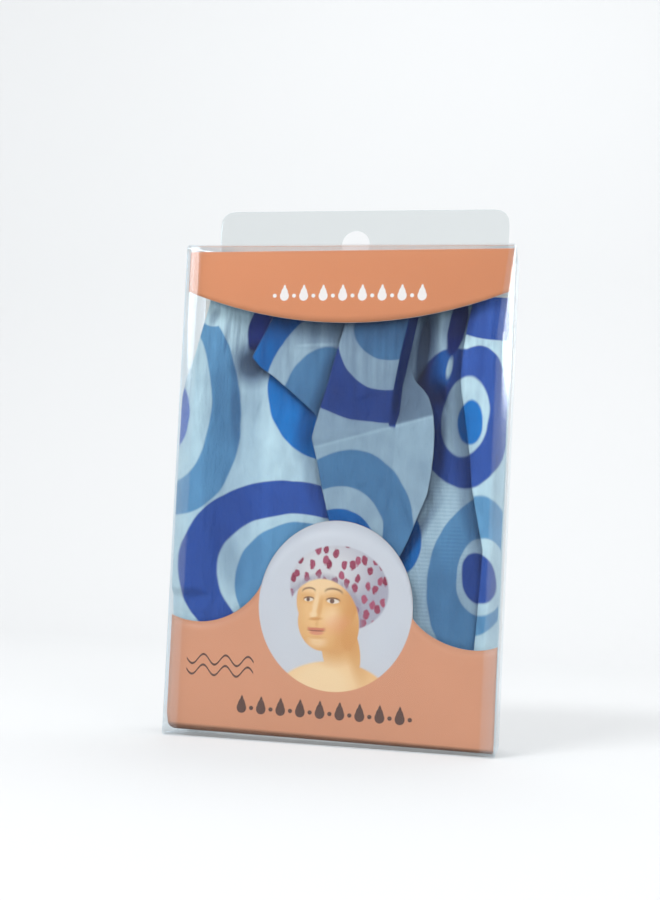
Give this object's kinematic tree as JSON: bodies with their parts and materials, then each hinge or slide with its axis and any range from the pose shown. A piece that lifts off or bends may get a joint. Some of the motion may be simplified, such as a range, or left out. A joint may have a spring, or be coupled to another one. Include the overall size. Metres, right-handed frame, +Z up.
{
  "type": "boxed shower cap",
  "caption": "Gathered shower cap, folded flat on a printed card insert, in a clear tuck-end film box with a hang tab.",
  "frame": {"origin": "middle of the base that the box stands on", "axes": "+Z up towards the hang tab, -Y out of the front panel, +X to the right seen from the front"},
  "size_m": [0.1, 0.025, 0.1675],
  "materials": {
    "film": "clear, glossy",
    "printed_card": "printed, satin",
    "plain_card": "uncoated back",
    "printed_cloth": "printed satin weave",
    "hem_cloth": "gathered, stitched",
    "lining_film": "soft waterproof film",
    "elastic": "covered braid"
  },
  "bodies": {
    "box": {"front_panel": "film", "back_panel": "film", "left_panel": "film", "right_panel": "film", "glue_seam": "film", "hang_tab": "film", "card_header": "printed_card", "card_base": "printed_card", "card_top_fold": "printed_card", "card_bottom_fold": "printed_card", "card_back": "plain_card", "cap_shell": "printed_cloth", "cap_lining": "lining_film", "cap_hem": "hem_cloth", "cap_elastic": "elastic"},
    "top_lid": {"top_lid": "film"},
    "top_tuck": {"top_tuck_flap": "film"},
    "top_dust_left": {"top_dust_flap_left": "film"},
    "top_dust_right": {"top_dust_flap_right": "film"},
    "bottom_lid": {"bottom_lid": "film"},
    "bottom_tuck": {"bottom_tuck_flap": "film"},
    "bottom_dust_left": {"bottom_dust_flap_left": "film"},
    "bottom_dust_right": {"bottom_dust_flap_right": "film"}
  },
  "joints": [
    {"name": "top_lid_crease", "type": "hinge", "parent": "box", "child": "top_lid", "pos_m": [0, -0.0125, 0.14955], "axis": [1, 0, 0], "range_deg": [0, 150]},
    {"name": "top_tuck_crease", "type": "hinge", "parent": "top_lid", "child": "top_tuck", "pos_m": [0, 0.0108, 0.14955], "axis": [1, 0, 0], "range_deg": [-61, 0]},
    {"name": "top_dust_left_crease", "type": "hinge", "parent": "box", "child": "top_dust_left", "pos_m": [-0.05, 0, 0.14905], "axis": [0, -1, 0], "range_deg": [0, 95]},
    {"name": "top_dust_right_crease", "type": "hinge", "parent": "box", "child": "top_dust_right", "pos_m": [0.05, 0, 0.14905], "axis": [0, 1, 0], "range_deg": [0, 95]},
    {"name": "bottom_lid_crease", "type": "hinge", "parent": "box", "child": "bottom_lid", "pos_m": [0, -0.0125, 0.00045], "axis": [-1, 0, 0], "range_deg": [0, 150]},
    {"name": "bottom_tuck_crease", "type": "hinge", "parent": "bottom_lid", "child": "bottom_tuck", "pos_m": [0, 0.0108, 0.00045], "axis": [-1, 0, 0], "range_deg": [-61, 0]},
    {"name": "bottom_dust_left_crease", "type": "hinge", "parent": "box", "child": "bottom_dust_left", "pos_m": [-0.05, 0, 0.00095], "axis": [0, 1, 0], "range_deg": [0, 95]},
    {"name": "bottom_dust_right_crease", "type": "hinge", "parent": "box", "child": "bottom_dust_right", "pos_m": [0.05, 0, 0.00095], "axis": [0, -1, 0], "range_deg": [0, 95]}
  ],
  "couplings": [
    {"joint": "top_tuck_crease", "follows": "top_lid_crease", "ratio": -0.4},
    {"joint": "top_dust_left_crease", "follows": "top_lid_crease", "ratio": 0.63},
    {"joint": "top_dust_right_crease", "follows": "top_lid_crease", "ratio": 0.63},
    {"joint": "bottom_tuck_crease", "follows": "bottom_lid_crease", "ratio": -0.4},
    {"joint": "bottom_dust_left_crease", "follows": "bottom_lid_crease", "ratio": 0.63},
    {"joint": "bottom_dust_right_crease", "follows": "bottom_lid_crease", "ratio": 0.63}
  ]
}
